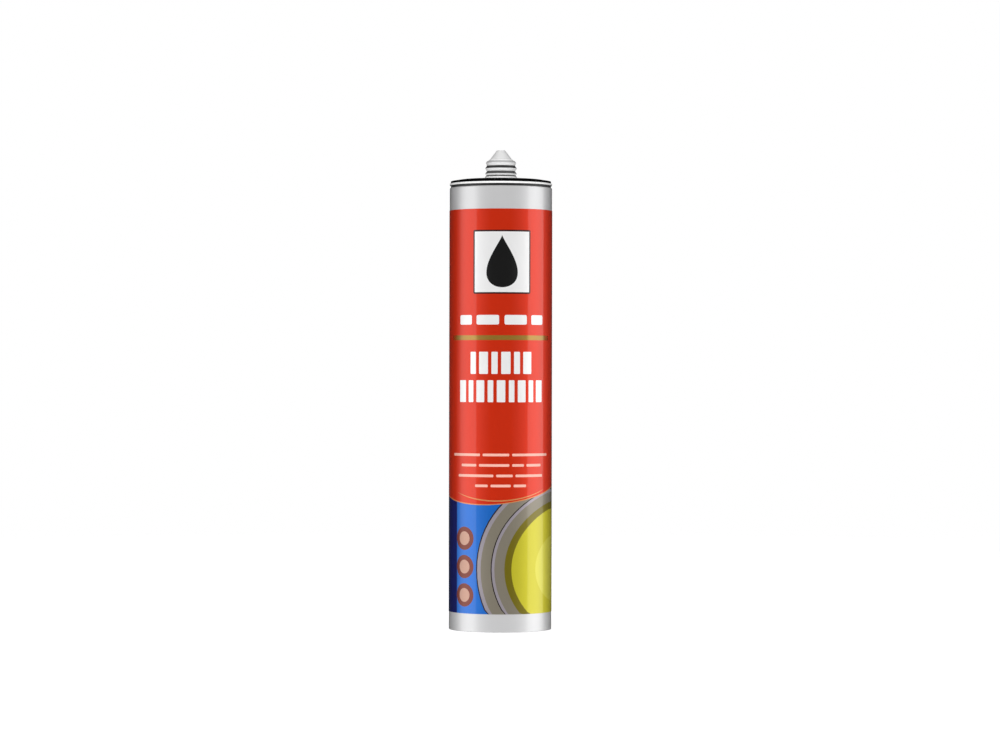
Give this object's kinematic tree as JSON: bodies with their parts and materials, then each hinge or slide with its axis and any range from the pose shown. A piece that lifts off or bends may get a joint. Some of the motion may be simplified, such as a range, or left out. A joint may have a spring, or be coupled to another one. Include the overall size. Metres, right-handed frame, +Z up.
{
  "type": "caulk tube",
  "caption": "Caulk tube: grey barrel in a red, blue and yellow wrap label, white head with a ridged nozzle neck and sealed tip, sliding piston inside.",
  "frame": {"origin": "centre of the tube's open rear rim, on the surface it stands on", "axes": "+Z up the tube's axis to the sealed tip, -Y out of the middle of the printed front"},
  "size_m": [0.0498, 0.0498, 0.2321],
  "materials": {
    "grey_polyethylene": "satin",
    "white_polyethylene": "satin",
    "natural_polyethylene": "matte",
    "white_paste": "satin",
    "printed_film": "gloss"
  },
  "bodies": {
    "cartridge": {"barrel": "grey_polyethylene", "head": "white_polyethylene", "label": "printed_film", "sealant": "white_paste"},
    "plunger": {"piston": "natural_polyethylene"}
  },
  "joints": [
    {"name": "piston_slide", "type": "slide", "parent": "cartridge", "child": "plunger", "axis": [0, 0, 1], "range_m": [0, 0.1743], "deforming": ["sealant"]}
  ]
}
